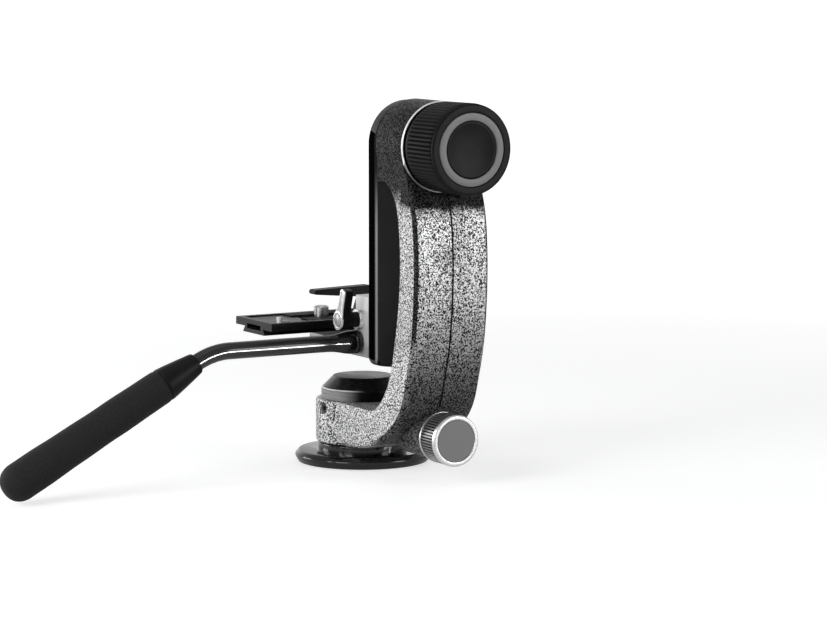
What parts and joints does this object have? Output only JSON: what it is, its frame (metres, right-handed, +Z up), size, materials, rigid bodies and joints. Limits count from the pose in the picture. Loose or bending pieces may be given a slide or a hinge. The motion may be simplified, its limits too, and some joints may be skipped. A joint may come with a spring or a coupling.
{
  "type": "gimbal tripod head",
  "caption": "Side-arm gimbal tripod head: panning base, tilting swing plate, height rail with quick-release clamp and plate, lock knobs and a cranked pan bar.",
  "frame": {"origin": "on the pan axis at the underside of the base flange", "axes": "+Z up along the pan axis, +X from the pan axis towards the arm and its knobs, +Y the way a lens looks; the pan bar points to -Y"},
  "size_m": [0.1779, 0.3179, 0.234],
  "materials": {
    "hammertone": "silver and black hammertone paint",
    "black_anodised": "satin black anodised",
    "black_gloss": "gloss black",
    "grey_anodised": "matt grey anodised",
    "silver": "satin machined",
    "steel": "turned steel",
    "rubber": "ribbed matt",
    "foam": "fine foam",
    "brass": "turned",
    "black_plastic": "satin"
  },
  "bodies": {
    "base": {"base_flange": "black_gloss", "pan_spindle": "steel", "spindle_screws": "steel", "thread_insert": "steel", "pan_inner_races": "steel", "pan_brake_drum": "steel", "spindle_nut": "steel", "pan_fluid_drum": "silver"},
    "yoke": {"yoke_arm": "hammertone", "pan_outer_races": "steel", "pan_cages": "brass", "pan_fluid_cup": "silver", "pan_cap": "black_anodised", "side_screw": "steel", "pan_lock_shoe": "brass", "pan_lock_collar": "silver", "tilt_outer_races": "steel", "tilt_cages": "brass", "tilt_fluid_cup": "silver", "hub_cover": "black_anodised"},
    "pan_lock": {"pan_lock_knob": "silver", "pan_lock_disc": "grey_anodised", "pan_lock_rod": "steel"},
    "swing": {"swing_plate": "black_anodised", "tilt_shaft": "steel", "shaft_screws": "steel", "tilt_inner_races": "steel", "tilt_fluid_drum": "silver", "tilt_lock_washer": "black_plastic", "height_rail": "black_anodised", "rail_screws": "steel", "rail_stop": "black_anodised"},
    "tilt_knob": {"tilt_knob_core": "black_plastic", "tilt_knob_rubber": "rubber", "tilt_knob_ring": "grey_anodised", "tilt_knob_disc": "black_plastic"},
    "carriage": {"carriage": "silver", "lock_wedge": "brass", "lever_collar": "silver", "clamp_bed": "black_anodised", "bed_screws": "steel"},
    "height_lever": {"height_lever": "black_plastic", "lever_rod": "steel"},
    "clamp_jaw": {"clamp_jaw": "black_anodised"},
    "clamp_lever": {"clamp_lever": "black_plastic", "clamp_rod": "steel"},
    "plate": {"release_plate": "black_anodised", "stop_pin": "steel", "plate_button": "steel", "plate_pads": "rubber"},
    "front_screw": {"lens_screw_front": "steel"},
    "rear_screw": {"lens_screw_rear": "steel"},
    "pan_bar": {"pan_bar": "black_gloss", "bar_sleeve": "black_plastic", "bar_grip": "foam"},
    "bar_nut": {"bar_nut": "black_gloss"}
  },
  "joints": [
    {"name": "pan", "type": "hinge", "parent": "base", "child": "yoke", "pos_m": [0, 0, 0.0407], "axis": [0, 0, 1], "continuous": true},
    {"name": "pan_lock_turn", "type": "hinge", "parent": "yoke", "child": "pan_lock", "pos_m": [0.1079, 0, 0.0279], "axis": [1, 0, 0], "range_deg": [0, 270]},
    {"name": "tilt", "type": "hinge", "parent": "yoke", "child": "swing", "pos_m": [0.08, 0, 0.2062], "axis": [1, 0, 0], "range_deg": [-90, 25]},
    {"name": "tilt_lock_turn", "type": "hinge", "parent": "swing", "child": "tilt_knob", "pos_m": [0.117, 0, 0.2062], "axis": [1, 0, 0], "range_deg": [0, 300]},
    {"name": "height_slide", "type": "slide", "parent": "swing", "child": "carriage", "axis": [0, 0, 1], "range_m": [-0.003, 0.045]},
    {"name": "height_lever_turn", "type": "hinge", "parent": "carriage", "child": "height_lever", "pos_m": [0.0423, -0.035, 0.0964], "axis": [0, 1, 0], "range_deg": [-45, 80]},
    {"name": "clamp_lever_turn", "type": "hinge", "parent": "carriage", "child": "clamp_lever", "pos_m": [-0.033, 0.015, 0.0833], "axis": [-1, 0, 0], "range_deg": [0, 100]},
    {"name": "jaw_slide", "type": "slide", "parent": "carriage", "child": "clamp_jaw", "axis": [-1, 0, 0], "range_m": [0, 0.0018]},
    {"name": "plate_slide", "type": "slide", "parent": "carriage", "child": "plate", "axis": [0, 1, 0], "range_m": [-0.02, 0.025]},
    {"name": "front_screw_slide", "type": "slide", "parent": "plate", "child": "front_screw", "axis": [0, 1, 0], "range_m": [-0.02, 0.005]},
    {"name": "rear_screw_slide", "type": "slide", "parent": "plate", "child": "rear_screw", "axis": [0, 1, 0], "range_m": [-0.007, 0.012]},
    {"name": "pan_bar_turn", "type": "hinge", "parent": "carriage", "child": "pan_bar", "pos_m": [0.0406, -0.035, 0.0822], "axis": [0, 1, 0], "range_deg": [-90, 90]},
    {"name": "bar_nut_turn", "type": "hinge", "parent": "carriage", "child": "bar_nut", "pos_m": [0.0406, -0.028, 0.0822], "axis": [0, -1, 0], "range_deg": [0, 270]}
  ],
  "couplings": [
    {"joint": "clamp_lever_turn", "follows": "jaw_slide", "rad_per_m": 969.6}
  ]
}
